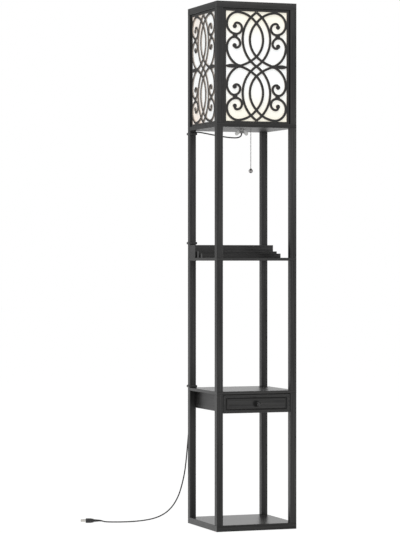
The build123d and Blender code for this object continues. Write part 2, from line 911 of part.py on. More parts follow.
# ---- Cord straps round the back left post ----
strap_levels = (
    shade_board_z - top_strap_drop,
    upper_bay_z + block_height + middle_strap_lift,
    middle_bay_z + lower_strap_lift,
)
loop_size = post_size + 2 * strap_clearance
channel_low_x = -post_x - channel_left
channel_high_x = -inner_x + strap_clearance
channel_y = half_depth + strap_clearance + channel_depth / 2


def strap_hollow(mode):
    """The room inside a strap: the post, and a channel behind it for the cord."""
    with Locations((-post_x, post_y)):
        Rectangle(loop_size, loop_size, mode=mode)
    with Locations(((channel_low_x + channel_high_x) / 2, channel_y)):
        Rectangle(channel_high_x - channel_low_x, channel_depth, mode=mode)


with BuildPart() as cord_straps:
    for level in strap_levels:
        with BuildPart():
            with BuildSketch(Plane.XY.offset(level - strap_height / 2)):
                strap_hollow(Mode.ADD)
                offset(amount=strap_thick)
            strap_body = extrude(amount=strap_height)
            rims = strap_body.faces().sort_by(Axis.Z)
            fillet(rims[0].outer_wire().edges() + rims[-1].outer_wire().edges(), strap_round)
            with BuildSketch(Plane.XY.offset(level - strap_height / 2)):
                strap_hollow(Mode.ADD)
            extrude(amount=strap_height, mode=Mode.SUBTRACT)
save(cord_straps, "cord_straps")

# ---- Power cord: from the nipple to the back of the post, down it, and away over the floor ----
cord_radius = cord_dia / 2
behind_post = half_depth + cord_radius + strap_clearance
floor_z = cord_radius + 0.1
plug_axis_z = plug_thick / 2
cord_exit_z = nipple_bottom - bushing_flange
cord_points = [
    (0.0, 0.0, cord_exit_z),
    (0.0, 0.0, cord_exit_z - 7.0),
    (-7.6, 7.4, cord_exit_z - 13.1),
    (-20.0, 19.4, cord_exit_z - 13.3),
    (-40.5, 38.5, cord_exit_z - 10.0),
    (-63.5, 64.0, cord_exit_z - 3.7),
    (-82.5, 87.5, cord_exit_z + 2.2),
    (-95.5, 107.5, cord_exit_z + 6.7),
    (-102.5, 121.5, cord_exit_z + 8.2),
    (-106.4, 131.2, cord_exit_z + 8.4),
    (-112.6, 133.6, cord_exit_z + 8.0),
    (-118.6, 133.6, cord_exit_z + 2.0),
    (-post_x, behind_post + 0.1, cord_exit_z - 10.0),
    (-post_x, behind_post, 404.0),
    (-120.0, 132.2, 349.3),
    (-124.0, 133.5, 300.0),
    (-127.9, 134.9, 250.0),
    (-131.7, 136.4, 202.0),
    (-136.6, 138.7, 156.0),
    (-145.8, 142.6, 112.4),
    (-155.9, 146.5, 79.8),
    (-171.7, 152.6, 50.8),
    (-192.9, 160.6, 29.1),
    (-220.7, 171.1, 14.6),
    (-254.8, 183.9, 7.0),
    (-292.1, 198.0, 3.2),
    (-326.0, 211.0, floor_z),
    (-354.0, 221.4, floor_z),
    (-370.0, 227.2, floor_z + 0.8),
    (-381.0, 231.2, plug_axis_z),
    (-390.4, 234.6, plug_axis_z),
]


def bend_radii(points):
    """The arc radius at each inner point: 0.45 of the shorter run over the tangent of half the turn."""
    vectors = [Vector(*point) for point in points]
    runs = [after - before for before, after in zip(vectors, vectors[1:])]
    radii = []
    for before, after in zip(runs, runs[1:]):
        half_turn = radians(before.get_angle(after)) / 2
        radii.append(0.45 * min(before.length, after.length) / tan(half_turn))
    return radii


cord_radii = bend_radii(cord_points)
with BuildPart() as power_cord:
    with BuildLine() as route:
        FilletPolyline(*cord_points, radius=cord_radii)
    with BuildSketch(Plane(origin=route.line @ 0, z_dir=route.line % 0)):
        Circle(cord_radius)
    sweep()
save(power_cord, "power_cord")
cord_length = route.wires()[0].length
cord_section = pi * cord_radius**2
print("cord bend radii, mm:", [round(radius, 1) for radius in cord_radii])
print("cord length, mm:", round(cord_length, 1))
print("cord volume / (section x length):", round(power_cord.part.volume / cord_section / cord_length, 4))

# ---- Plug at the cord's far end, lying flat ----
plug_start = Vector(*cord_points[-1])
plug_heading = (plug_start - Vector(*cord_points[-2])).normalized()
plug_plane = Plane(origin=plug_start, x_dir=plug_heading.cross(Vector(0, 0, 1)), z_dir=plug_heading)
body_plane = plug_plane.offset(plug_neck_length)
face_plane = plug_plane.offset(plug_neck_length + plug_length)
with BuildPart() as plug_body:
    with BuildSketch(plug_plane):
        Circle(plug_neck_dia / 2 - 1)
    with BuildSketch(body_plane):
        Circle(plug_neck_dia / 2)
    loft()
    with BuildSketch(body_plane):
        RectangleRounded(plug_width * 0.7, plug_thick * 0.8, plug_thick * 0.35)
    with BuildSketch(body_plane.offset(plug_length * 0.4)):
        RectangleRounded(plug_width, plug_thick, plug_thick * 0.35)
    loft()
    with BuildSketch(body_plane.offset(plug_length * 0.4)):
        RectangleRounded(plug_width, plug_thick, plug_thick * 0.35)
    extrude(amount=plug_length * 0.6)
    with BuildSketch(face_plane):
        with Locations((-blade_spread / 2, 0), (blade_spread / 2, 0)):
            Rectangle(blade_thick + 2 * floor_clearance, blade_width + 2 * floor_clearance)
    extrude(amount=-blade_bite - floor_clearance, mode=Mode.SUBTRACT)
save(plug_body, "plug_body")

with BuildPart() as plug_blades:
    with BuildSketch(face_plane.offset(-blade_bite)):
        with Locations((-blade_spread / 2, 0), (blade_spread / 2, 0)):
            Rectangle(blade_thick, blade_width)
    extrude(amount=blade_bite + blade_length)
save(plug_blades, "plug_blades")
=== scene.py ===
# %% [markdown]
# # A shelf floor lamp with a scroll lattice box
# The lamp's pieces were made at their real size and come in as one fixed frame. This notebook adds
# what the frame lacks: a camera, the free power cord with its strain relief, the finish of every
# surface and a plain white studio. Each step says what the thing is on the real lamp and why it is
# made this way.

# %% Load the frame
import math

import bmesh
import bpy
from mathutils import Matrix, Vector


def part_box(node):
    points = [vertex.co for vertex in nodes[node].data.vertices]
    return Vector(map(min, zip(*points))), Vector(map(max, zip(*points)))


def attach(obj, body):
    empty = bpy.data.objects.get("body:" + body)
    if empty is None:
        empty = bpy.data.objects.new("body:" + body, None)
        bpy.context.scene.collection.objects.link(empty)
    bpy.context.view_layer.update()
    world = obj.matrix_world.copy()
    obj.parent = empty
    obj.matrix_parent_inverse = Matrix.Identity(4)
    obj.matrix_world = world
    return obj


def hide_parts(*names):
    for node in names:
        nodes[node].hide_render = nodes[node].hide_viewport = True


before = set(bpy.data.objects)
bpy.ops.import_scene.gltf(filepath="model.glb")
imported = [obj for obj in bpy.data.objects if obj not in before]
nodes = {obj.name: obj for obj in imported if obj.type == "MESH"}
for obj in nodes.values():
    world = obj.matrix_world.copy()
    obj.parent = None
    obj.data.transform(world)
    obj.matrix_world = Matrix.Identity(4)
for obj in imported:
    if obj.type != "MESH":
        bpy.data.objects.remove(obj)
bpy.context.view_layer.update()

print("pieces in the frame:", len(nodes))

# %% [markdown]
# ## Camera
# The photograph was taken from far away with a long lens, at about half the lamp's height, and from
# 20 degrees round towards its left side. A long lens keeps upright edges upright, so the camera
# stands nearly level. Its place was found by matching the posts' edges in the photograph. Places
# are in metres, and the lens and the film in millimetres.

# %% Camera at the photograph's viewing angle
camera_place = (-2.5522, -6.6402, 0.8190)
camera_turn = math.radians(19.993)
camera_dip = math.radians(0.16)
camera_lens = 155.95
camera_film = 36.0
camera_reach = 60.0


def make_camera():
    data = bpy.data.cameras.new("photo_camera")
    data.lens = camera_lens
    data.sensor_width = camera_film
    data.clip_end = camera_reach
    camera = bpy.data.objects.new("photo_camera", data)
    camera.location = camera_place
    camera.rotation_euler = (math.pi / 2 - camera_dip, 0, -camera_turn)
    bpy.context.scene.collection.objects.link(camera)
    bpy.context.scene.camera = camera
    return camera


camera = make_camera()
bpy.context.scene.view_settings.view_transform = "Standard"
print("camera at:", [round(value, 3) for value in camera.location])

# %% [markdown]
# ## Power cord
# The real cord leaves the threaded nipple under the shade board, swings in a loose curve to the back
# left post, goes down behind it through three straps, and then falls away to the floor and its plug.
# A curve with a round bevel suits it: one smooth NURBS spline whose control points are the route's
# points, so it bends like a cable and keeps one thickness. The bevel is one unit wide and each point
# carries the cord's radius, because Blender counts a point's radius in a curve's box.

# %% The cord's route, in metres
cord_diameter = 0.004
exit_z = 1.2090
behind_post = 0.1317
post_middle = 0.1195
floor_z = 0.0021
plug_axis_z = 0.0065
cord_points = [
    (0.0, 0.0, exit_z),
    (0.0, 0.0, exit_z - 0.0070),
    (-0.0076, 0.0074, exit_z - 0.0131),
    (-0.0200, 0.0194, exit_z - 0.0133),
    (-0.0405, 0.0385, exit_z - 0.0100),
    (-0.0635, 0.0640, exit_z - 0.0037),
    (-0.0825, 0.0875, exit_z + 0.0022),
    (-0.0955, 0.1075, exit_z + 0.0067),
    (-0.1025, 0.1215, exit_z + 0.0082),
    (-0.1064, 0.1312, exit_z + 0.0084),
    (-0.1126, 0.1336, exit_z + 0.0080),
    (-0.1186, 0.1336, exit_z + 0.0020),
    (-post_middle, behind_post + 0.0001, exit_z - 0.0100),
    (-post_middle, behind_post, 0.4040),
    (-0.1200, 0.1322, 0.3493),
    (-0.1240, 0.1335, 0.3000),
    (-0.1279, 0.1349, 0.2500),
    (-0.1317, 0.1364, 0.2020),
    (-0.1366, 0.1387, 0.1560),
    (-0.1458, 0.1426, 0.1124),
    (-0.1559, 0.1465, 0.0798),
    (-0.1717, 0.1526, 0.0508),
    (-0.1929, 0.1606, 0.0291),
    (-0.2207, 0.1711, 0.0146),
    (-0.2548, 0.1839, 0.0070),
    (-0.2921, 0.1980, 0.0032),
    (-0.3260, 0.2110, floor_z),
    (-0.3540, 0.2214, floor_z),
    (-0.3700, 0.2272, floor_z + 0.0008),
    (-0.3810, 0.2312, plug_axis_z),
    (-0.3904, 0.2346, plug_axis_z),
]
print("cord points:", len(cord_points))

# %% The cord as a smooth curve
spline_steps = 12
spline_order = 3
bevel_steps = 5


def make_cord(name, points, diameter):
    """A smooth curve through a list of points, round, or a bare line where diameter is 0."""
    data = bpy.data.curves.new(name, "CURVE")
    data.dimensions = "3D"
    data.resolution_u = spline_steps
    data.bevel_depth = 1.0 if diameter else 0.0
    data.bevel_resolution = bevel_steps
    data.use_fill_caps = True
    spline = data.splines.new("NURBS")
    spline.points.add(len(points) - 1)
    for point, place in zip(spline.points, points):
        point.co = (*place, 1.0)
        point.radius = diameter / 2
    spline.order_u = spline_order
    spline.use_endpoint_u = True
    cord = bpy.data.objects.new(name, data)
    bpy.context.scene.collection.objects.link(cord)
    return cord


power_cord = make_cord("power_cord_curve", cord_points, cord_diameter)
print("cord thickness, mm:", 1000 * cord_diameter)

# %% [markdown]
# ## Strain relief at the plug
# Where the cord enters its plug, a soft ribbed sleeve keeps it from kinking. It widens from the
# cord to the plug's neck. It could be a cone, but the cord still bends there, so the sleeve is a
# mesh of rings that follow the cord's own line, with a ridge every few millimetres. The line is
# read back from the cord's curve, drawn once more with no thickness.

# %% The cord's line, read back as plain points
relief_on_cord = 0.013
relief_on_neck = 0.012
relief_step = 0.00025


def line_points(points):
    """The smooth line of the cord with no thickness, from its first point to its last."""
    bare = make_cord("cord_line", points, 0.0)
    bare.data.use_fill_caps = False
    bpy.context.view_layer.update()
    mesh = bpy.data.meshes.new_from_object(bare)
    line = [vertex.co.copy() for vertex in mesh.vertices]
    bpy.data.objects.remove(bare)
    bpy.data.meshes.remove(mesh)
    return line


def walk_back(line, length, step):
    """Places at equal steps along the last part of a line, in the line's own direction."""
    places = [line[-1].copy()]
    here = line[-1].copy()
    for target in reversed(line[:-1]):
        while (target - here).length > step:
            here = here + (target - here).normalized() * step
            places.append(here.copy())
            if len(places) * step >= length:
                return places[::-1]
    return places[::-1]


on_cord = walk_back(line_points(cord_points), relief_on_cord, relief_step)
plug_start = Vector(cord_points[-1])
plug_heading = (plug_start - Vector(cord_points[-2])).normalized()
neck_steps = round(relief_on_neck / relief_step)
on_neck = [plug_start + plug_heading * relief_step * step for step in range(1, neck_steps + 1)]
print("sleeve length, mm:", round(1000 * relief_step * (len(on_cord) + len(on_neck)), 1))

# %% One ring of the sleeve
relief_thin = 0.0024
relief_wide = 0.0045
rib_pitch = 0.0030
rib_height = 0.0004
relief_sides = 28
upward = Vector((0, 0, 1))


def sleeve_radius(index, last):
    """A cone's radius at one ring, less the hollow between two ridges."""
    ridge = 0.5 + 0.5 * math.cos(2 * math.pi * index * relief_step / rib_pitch)
    return relief_thin + (relief_wide - relief_thin) * index / last - rib_height * (1 - ridge ** 0.5)


def sleeve_ring(mesh, place, heading, radius):
    """Corners round a place, square to the direction in which the line goes on."""
    side = heading.cross(upward).normalized()
    up = side.cross(heading)
    ring = []
    for corner in range(relief_sides):
        angle = 2 * math.pi * corner / relief_sides
        ring.append(mesh.verts.new(place + radius * (math.cos(angle) * side + math.sin(angle) * up)))
    return ring


# %% The ribbed sleeve
def ribbed_sleeve(name, places):
    """A closed ribbed tube round a line of places."""
    mesh = bmesh.new()
    rings = []
    last = len(places) - 1
    for index, place in enumerate(places):
        heading = (places[min(index + 1, last)] - places[max(index - 1, 0)]).normalized()
        rings.append(sleeve_ring(mesh, place, heading, sleeve_radius(index, last)))
    for first, second in zip(rings, rings[1:]):
        for corner in range(relief_sides):
            after = (corner + 1) % relief_sides
            mesh.faces.new((first[corner], first[after], second[after], second[corner]))
    mesh.faces.new(rings[0][::-1])
    mesh.faces.new(rings[-1])
    bmesh.ops.recalc_face_normals(mesh, faces=mesh.faces)
    data = bpy.data.meshes.new(name)
    mesh.to_mesh(data)
    mesh.free()
    data.polygons.foreach_set("use_smooth", [True] * len(data.polygons))
    sleeve = bpy.data.objects.new(name, data)
    bpy.context.scene.collection.objects.link(sleeve)
    return sleeve


strain_relief = ribbed_sleeve("plug_strain_relief", on_cord + on_neck)
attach(strain_relief, "frame")
print("sleeve faces:", len(strain_relief.data.polygons))

# %% What the cord is
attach(power_cord, "frame")
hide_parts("power_cord")

# %% [markdown]
# ## Small helpers for materials
# Every finish here is a node tree that starts from the place of a point on the lamp, in metres. The
# pieces all keep their origin at the lamp's own origin, so Object coordinates are real distances and
# a grain keeps its true scale. These helpers add and join nodes, so that a finish reads as a recipe.
# The Mix node has one set of sockets for each kind of data, all under the same names, so its colour
# sockets are picked by their numbers. A texture is written as its detail, its roughness and, where
# it is bent, its distortion, and a range is the part of the noise that a ramp spreads out.


# %% Make a material and add nodes to it
def find_node(tree, kind):
    return next(node for node in tree.nodes if node.type == kind)


def new_material(name):
    material = bpy.data.materials.new(name)
    material.use_nodes = True
    tree = material.node_tree
    return material, tree, find_node(tree, "BSDF_PRINCIPLED")


def set_inputs(tree, node, inputs):
    """Join a node's inputs to other nodes' outputs, or give them plain values."""
    for key, value in inputs.items():
        if isinstance(value, bpy.types.NodeSocket):
            tree.links.new(value, node.inputs[key])
        else:
            node.inputs[key].default_value = value


def add_node(tree, kind, inputs=None, **settings):
    node = tree.nodes.new(kind)
    for key, value in settings.items():
        setattr(node, key, value)
    set_inputs(tree, node, inputs or {})
    return node


# %% Sums, mixed colours and ramps
mix_factor = 0
mix_first = 6
mix_second = 7
mix_result = 2


def math_node(tree, operation, first, second=0.0, third=0.0):
    node = add_node(tree, "ShaderNodeMath", {0: first, 1: second, 2: third}, operation=operation)
    return node.outputs["Value"]


def mix_colours(tree, factor, first, second, blend="MIX"):
    inputs = {mix_factor: factor, mix_first: first, mix_second: second}
    node = add_node(tree, "ShaderNodeMix", inputs, data_type="RGBA", blend_type=blend)
    return node.outputs[mix_result]


def ramp(tree, value, low, high):
    """0 where a value is at low, 1 where it is at high, and an even slope between them."""
    inputs = {"Value": value, "From Min": low, "From Max": high}
    return add_node(tree, "ShaderNodeMapRange", inputs, clamp=True).outputs["Result"]


def grey(value, warmth=0.0):
    """A grey of a given brightness, a little redder and less blue where warmth is above zero."""
    return (value * (1 + warmth), value, value * (1 - warmth), 1.0)


# %% Places, directions, noise and relief
fine_texture = (2.0, 0.5)
noise_range = (0.3, 0.7)


def place_on_lamp(tree):
    """The place of a point on the lamp in metres, as outputs X, Y and Z."""
    place = add_node(tree, "ShaderNodeTexCoord").outputs["Object"]
    return add_node(tree, "ShaderNodeSeparateXYZ", {"Vector": place}).outputs


def face_direction(tree):
    """The direction in which a face looks, as outputs X, Y and Z."""
    normal = add_node(tree, "ShaderNodeNewGeometry").outputs["True Normal"]
    return add_node(tree, "ShaderNodeSeparateXYZ", {"Vector": normal}).outputs


def stretched_noise(tree, scale, detail, roughness, distortion=0.0):
    """Noise in real coordinates, with its own scale per metre along X, Y and Z."""
    place = add_node(tree, "ShaderNodeTexCoord").outputs["Object"]
    mapping = add_node(tree, "ShaderNodeMapping", {"Vector": place, "Scale": scale})
    inputs = {
        "Vector": mapping.outputs["Vector"],
        "Scale": 1.0,
        "Detail": detail,
        "Roughness": roughness,
        "Distortion": distortion,
    }
    return add_node(tree, "ShaderNodeTexNoise", inputs).outputs["Fac"]


def bump(tree, shader, height, strength, distance):
    """Press a relief into a finish, up to a distance in metres deep."""
    inputs = {"Height": height, "Strength": strength, "Distance": distance}
    relief = add_node(tree, "ShaderNodeBump", inputs)
    tree.links.new(relief.outputs["Normal"], shader.inputs["Normal"])


# %% Dress pieces in a material
def dress(material, *names):
    """Give one material to frame pieces, by name."""
    for name in names:
        mesh = nodes[name].data
        mesh.materials.clear()
        mesh.materials.append(material)
    print(material.name, "on", ", ".join(names))


# %% [markdown]
# ## Black laminate
# The frame is fibreboard under a black printed foil with a faint wood grain. The grain runs along
# each piece: up the posts, across the boards. Long thin noise gives the streaks, a finer one the
# pores, and the same streaks press a shallow relief into the foil. The small chamfers carry a
# painted highlight: they are as light as the lightest streaks, and a chamfer is found by its
# slanting normal. The lamp posts' inner faces, where the panels slot in, lie in deep shade, and that
# shade is painted on them: they are nearly black and dull. The shade board is duller than the posts,
# and the shelves are smoother.

# %% The foil's numbers: noise per metre, along the grain and across it
grain_along = 5.0
grain_across = 260.0
pores_along = 38.0
pores_across = 1500.0
clouds_along = 2.0
clouds_across = 9.0
cloud_share = 0.25
grain_texture = (5.0, 0.62, 0.4)
grain_range = (0.48, 0.86)
laminate_dark = grey(0.006, 0.01)
laminate_light = grey(0.037, 0.02)
chamfer_highlight = grey(0.036, 0.02)
laminate_roughness = 0.36
underside_roughness = 0.395
shelf_roughness = 0.30
pore_roughness = 0.10
pore_relief = 0.5
relief_strength = 0.22
relief_depth = 0.0004
laminate_specular = 0.32


def along(axis, lengthways, across):
    """Scales for noise that is stretched along one axis."""
    return tuple(lengthways if letter == axis else across for letter in "XYZ")


print("grain of an upright, waves per metre:", along("Z", grain_along, grain_across))


# %% Where the foil has chamfers and where it ends
square_face = 0.95
facing_share = 0.9
deep_shade = grey(0.003)
post_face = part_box("lamp_post_front_right")[0][0]
face_slack = 0.0015


def chamfer_mask(tree):
    """1 on faces that slant between two axes, 0 on square ones."""
    direction = face_direction(tree)
    sizes = [math_node(tree, "ABSOLUTE", direction[axis]) for axis in "XYZ"]
    largest = math_node(tree, "MAXIMUM", math_node(tree, "MAXIMUM", sizes[0], sizes[1]), sizes[2])
    return math_node(tree, "LESS_THAN", largest, square_face)


def recess_shade_mask(tree):
    """1 on the lamp posts' inner faces, where shade is painted, 0 elsewhere."""
    place = place_on_lamp(tree)
    direction = face_direction(tree)
    masks = []
    for axis in "XY":
        facing = math_node(tree, "GREATER_THAN", math_node(tree, "ABSOLUTE", direction[axis]), facing_share)
        spot = math_node(tree, "ABSOLUTE", place[axis])
        inner = math_node(tree, "LESS_THAN", spot, post_face + face_slack)
        masks.append(math_node(tree, "MULTIPLY", facing, inner))
    return math_node(tree, "MAXIMUM", masks[0], masks[1])


print("inner faces of the lamp posts, mm from the middle:", round(1000 * post_face, 1))


# %% Black laminate, one recipe for each grain direction
def laminate(name, axis, roughness=laminate_roughness, shade_inside=False):
    """Foil with its grain along one axis; on a lamp post it can paint the inner faces with nearly black,
    dull shade.
    """
    material, tree, shader = new_material(name)
    streaks = stretched_noise(tree, along(axis, grain_along, grain_across), *grain_texture)
    pores = stretched_noise(tree, along(axis, pores_along, pores_across), *fine_texture)
    clouds = stretched_noise(tree, along(axis, clouds_along, clouds_across), *fine_texture)
    patches = ramp(tree, clouds, *noise_range)
    tone = math_node(tree, "MULTIPLY_ADD", patches, cloud_share, streaks)
    colour = mix_colours(tree, ramp(tree, tone, *grain_range), laminate_dark, laminate_light)
    # Painted highlight: the slanting chamfers are made as light as the lightest streaks.
    colour = mix_colours(tree, chamfer_mask(tree), colour, chamfer_highlight)
    shine = math_node(tree, "MULTIPLY_ADD", pores, pore_roughness, roughness - pore_roughness / 2)
    if shade_inside:
        # Painted shade: the lamp posts' inner faces are made nearly black and dull.
        inside = recess_shade_mask(tree)
        colour = mix_colours(tree, inside, colour, deep_shade)
        shine = math_node(tree, "MAXIMUM", shine, inside)
    foil = {"Base Color": colour, "Roughness": shine, "Specular IOR Level": laminate_specular}
    set_inputs(tree, shader, foil)
    relief = math_node(tree, "MULTIPLY_ADD", pores, pore_relief, streaks)
    bump(tree, shader, relief, relief_strength, relief_depth)
    return material


laminate_x = laminate("black_laminate_across", "X")
laminate_y = laminate("black_laminate_front_to_back", "Y")
laminate_z = laminate("black_laminate_upright", "Z")
laminate_lamp_post = laminate("black_laminate_lamp_post", "Z", shade_inside=True)
laminate_shade_board = laminate("black_laminate_shade_board", "X", underside_roughness)
laminate_shelf = laminate("black_laminate_shelf", "X", shelf_roughness)
print("laminates:", laminate_x.name, laminate_y.name, laminate_z.name)

# %% Dress the frame in laminate
corners = ("front_left", "front_right", "back_left", "back_right")
for bay in ("lower", "middle", "upper"):
    dress(laminate_z, *[f"{bay}_post_{corner}" for corner in corners])
dress(laminate_lamp_post, *[f"lamp_post_{corner}" for corner in corners])
dress(laminate_shelf, "base_board", "drawer_shelf_board", "middle_shelf_board")
dress(laminate_shade_board, "shade_board")
dress(laminate_x, "top_rail_front", "top_rail_back", "housing_back")
dress(laminate_x, "organizer_block", "organizer_middle_divider", "organizer_front_divider")
dress(laminate_y, "top_rail_left", "top_rail_right", "housing_sides")

# %% [markdown]
# ## Drawer front
# The drawer front has the same foil, with a groove milled round its field. Little light gets into
# the groove or close beside the knob, so shade is painted there: the finish starts from the laminate
# and is painted darker and duller with the depth behind the face, and with a painted shadow round
# the knob's stem, set a little to its left.

# %% Laminate with painted shade in the groove and round the knob
groove_start = 0.0010
groove_depth = 0.0036
groove_shade_tone = grey(0.007)
groove_dullness = 0.5
knob_shadow = 0.0120
knob_stem = 0.0070
shadow_shift = 0.0035
front_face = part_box("drawer_front")[0][1]
knob_low, knob_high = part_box("drawer_knob")
knob_x = (knob_low[0] + knob_high[0]) / 2
knob_z = (knob_low[2] + knob_high[2]) / 2


def drawer_laminate():
    material = laminate("black_laminate_drawer_front", "X")
    tree = material.node_tree
    shader = find_node(tree, "BSDF_PRINCIPLED")
    place = place_on_lamp(tree)
    # Painted shade: darker and duller deeper in the groove, and a painted shadow beside the knob's stem.
    deep = ramp(tree, math_node(tree, "SUBTRACT", place["Y"], front_face), groove_start, groove_depth)
    sideways = math_node(tree, "SUBTRACT", place["X"], knob_x - shadow_shift)
    upwards = math_node(tree, "SUBTRACT", place["Z"], knob_z)
    squares = math_node(tree, "MULTIPLY", sideways, sideways)
    squares = math_node(tree, "MULTIPLY_ADD", upwards, upwards, squares)
    knob_shadow_mask = ramp(tree, math_node(tree, "SQRT", squares), knob_shadow, knob_stem)
    dark = math_node(tree, "MAXIMUM", deep, knob_shadow_mask)
    foil = shader.inputs["Base Color"].links[0].from_socket
    shine = shader.inputs["Roughness"].links[0].from_socket
    shaded_foil = mix_colours(tree, dark, foil, groove_shade_tone)
    dulled = math_node(tree, "MULTIPLY_ADD", dark, groove_dullness, shine)
    set_inputs(tree, shader, {"Base Color": shaded_foil, "Roughness": dulled})
    return material


dress(drawer_laminate(), "drawer_front")
print("drawer front's face, mm:", round(1000 * front_face, 1))

# %% [markdown]
# ## Lattice panels
# Each panel is a thin fibreboard, cut by a laser and painted black on its face. The cut walls stay
# brown and a little paler, which shows on the left side, where the eye looks along the wall. The
# face and the cut wall are told apart by the normal, so one material holds both finishes. Where a
# panel slips under the top rail and into its posts, next to no light reaches it, and it is nearly
# black. The front panel shows this at its right end only, the left one at its back end, so the
# shade is put at one end of each.

# %% Painted face and brown cut edge
cut_brown = (0.500, 0.430, 0.370, 1.0)
cut_soot = (0.270, 0.232, 0.200, 1.0)
paint_dark = grey(0.013, 0.03)
paint_light = grey(0.029, 0.04)
paint_texture = (5.0, 0.6, 0.4)
paint_range = (0.35, 0.7)
soot_scale = (900.0, 900.0, 900.0)
soot_texture = (3.0, 0.6)
soot_range = (0.35, 0.65)
face_share = 0.7
paint_roughness = 0.45
cut_dullness = 0.3
lattice_specular = 0.3
rail_shadow = 0.0050
rail_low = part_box("top_rail_front")[0][2]


def lattice_board(name, face_axis, run_axis, shade_start, shade_full):
    """Board facing one axis and running along another; its shade is given in metres from the post."""
    material, tree, shader = new_material(name)
    streaks = stretched_noise(tree, along("Z", grain_along, grain_across), *paint_texture)
    face = mix_colours(tree, ramp(tree, streaks, *paint_range), paint_dark, paint_light)
    soot = stretched_noise(tree, soot_scale, *soot_texture)
    wall = mix_colours(tree, ramp(tree, soot, *soot_range), cut_soot, cut_brown)
    facing = math_node(tree, "ABSOLUTE", face_direction(tree)[face_axis])
    is_wall = math_node(tree, "LESS_THAN", facing, face_share)
    place = place_on_lamp(tree)
    under_rail = ramp(tree, place["Z"], rail_low - rail_shadow, rail_low)
    beside_post = ramp(tree, place[run_axis], post_face - shade_start, post_face - shade_full)
    shade = math_node(tree, "MAXIMUM", beside_post, under_rail)
    colour = mix_colours(tree, shade, mix_colours(tree, is_wall, face, wall), deep_shade)
    shine = math_node(tree, "MULTIPLY_ADD", is_wall, cut_dullness, paint_roughness)
    shine = math_node(tree, "MAXIMUM", shine, shade)
    board = {"Base Color": colour, "Roughness": shine, "Specular IOR Level": lattice_specular}
    set_inputs(tree, shader, board)
    bump(tree, shader, soot, strength=0.12, distance=0.0003)
    return material


lattice_y = lattice_board("lattice_board_front", "Y", "X", shade_start=0.0040, shade_full=0.0030)
lattice_x = lattice_board("lattice_board_side", "X", "Y", shade_start=0.0125, shade_full=0.0085)
dress(lattice_y, "lattice_panel_front", "lattice_panel_back")
dress(lattice_x, "lattice_panel_left", "lattice_panel_right")

# %% [markdown]
# ## Shade sheets
# Behind the lattice a thin white sheet spreads the bulb's light. The front and back sheets look
# evenly white, a little cool at mid height and creamy towards the top and bottom. The side sheets
# are seen at a slant and get less light, so they are a shaded copy of the paper: they glow less, a
# grey veil of painted shade lies over them in soft streaks, and their back half is rosy rather than
# creamy. A sheet glows weakly by itself, as a lit shade does, with fine paper fibres in its tone
# and relief.

# %% The paper's colours and their places
shade_white = (0.86, 0.88, 0.88, 1.0)
shade_cream = (0.87, 0.85, 0.75, 1.0)
shade_rose = (0.85, 0.76, 0.68, 1.0)
painted_veil_shade = (0.76, 0.76, 0.75, 1.0)
front_glow = 0.28
side_glow = 0.20
sheet_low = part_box("shade_board")[1][2]
sheet_middle = (sheet_low + rail_low) / 2
warm_start = 0.085
warm_full = 0.174
warm_cloud_scale = (14.0, 14.0, 14.0)
warm_cloud_shift = 0.05
rose_start = 0.0
rose_full = 0.03
veil_scale = (70.0, 70.0, 16.0)
veil_texture = (3.0, 0.6, 0.8)
veil_range = (0.45, 0.75)
fibre_scale = (420.0, 420.0, 160.0)
fibre_texture = (4.0, 0.65, 0.6)
fibre_dark = grey(0.955)
fibre_light = grey(1.0)
paper_roughness = 0.75
paper_specular = 0.2
print("middle of the sheets, mm:", round(1000 * sheet_middle, 1))


# %% Warm ends, grey veil and fibres
def warm_ends(tree, place):
    """0 at mid height, 1 near the top and bottom, with a soft uneven edge."""
    from_middle = math_node(tree, "ABSOLUTE", math_node(tree, "SUBTRACT", place["Z"], sheet_middle))
    clouds = stretched_noise(tree, warm_cloud_scale, *fine_texture)
    uneven = math_node(tree, "MULTIPLY_ADD", clouds, warm_cloud_shift, from_middle)
    return ramp(tree, uneven, warm_start, warm_full)


def veiled(tree, colour):
    """A colour with a grey veil of painted shade in soft upright streaks."""
    veil = stretched_noise(tree, veil_scale, *veil_texture)
    return mix_colours(tree, ramp(tree, veil, *veil_range), colour, painted_veil_shade)


def shade_paper(name, end_colour, glow, is_side):
    """Paper that glows and is warmer at its ends; a side sheet is veiled and warm at the back only."""
    material, tree, shader = new_material(name)
    place = place_on_lamp(tree)
    warm = warm_ends(tree, place)
    if is_side:
        warm = math_node(tree, "MULTIPLY", warm, ramp(tree, place["Y"], rose_start, rose_full))
    colour = mix_colours(tree, warm, shade_white, end_colour)
    if is_side:
        colour = veiled(tree, colour)
    fibres = stretched_noise(tree, fibre_scale, *fibre_texture)
    fibre_tone = mix_colours(tree, ramp(tree, fibres, *noise_range), fibre_dark, fibre_light)
    colour = mix_colours(tree, 1.0, colour, fibre_tone, blend="MULTIPLY")
    paper = {
        "Base Color": colour,
        "Emission Color": colour,
        "Emission Strength": glow,
        "Roughness": paper_roughness,
        "Specular IOR Level": paper_specular,
    }
    set_inputs(tree, shader, paper)
    bump(tree, shader, fibres, strength=0.15, distance=0.0002)
    return material


paper_front = shade_paper("shade_paper_front", shade_cream, front_glow, is_side=False)
# A shaded copy of the paper: weaker glow and a grey veil of painted shade.
paper_side = shade_paper("shade_paper_side", shade_rose, side_glow, is_side=True)
dress(paper_front, "shade_sheet_front", "shade_sheet_back")
dress(paper_side, "shade_sheet_left", "shade_sheet_right")

# %% [markdown]
# ## Metal
# The wing nut, washer, nipple and screws are zinc plated steel, a little mottled, and the wing nut
# and washer are painted darker close to the thread, as shade on the hub. The pull chain and its ball
# are nickel plated and smoother, and painted darker for the shade of the board they hang under. All
# share the metallic shader with fine noise in the roughness, since plating shows its character in
# how sharply it reflects.

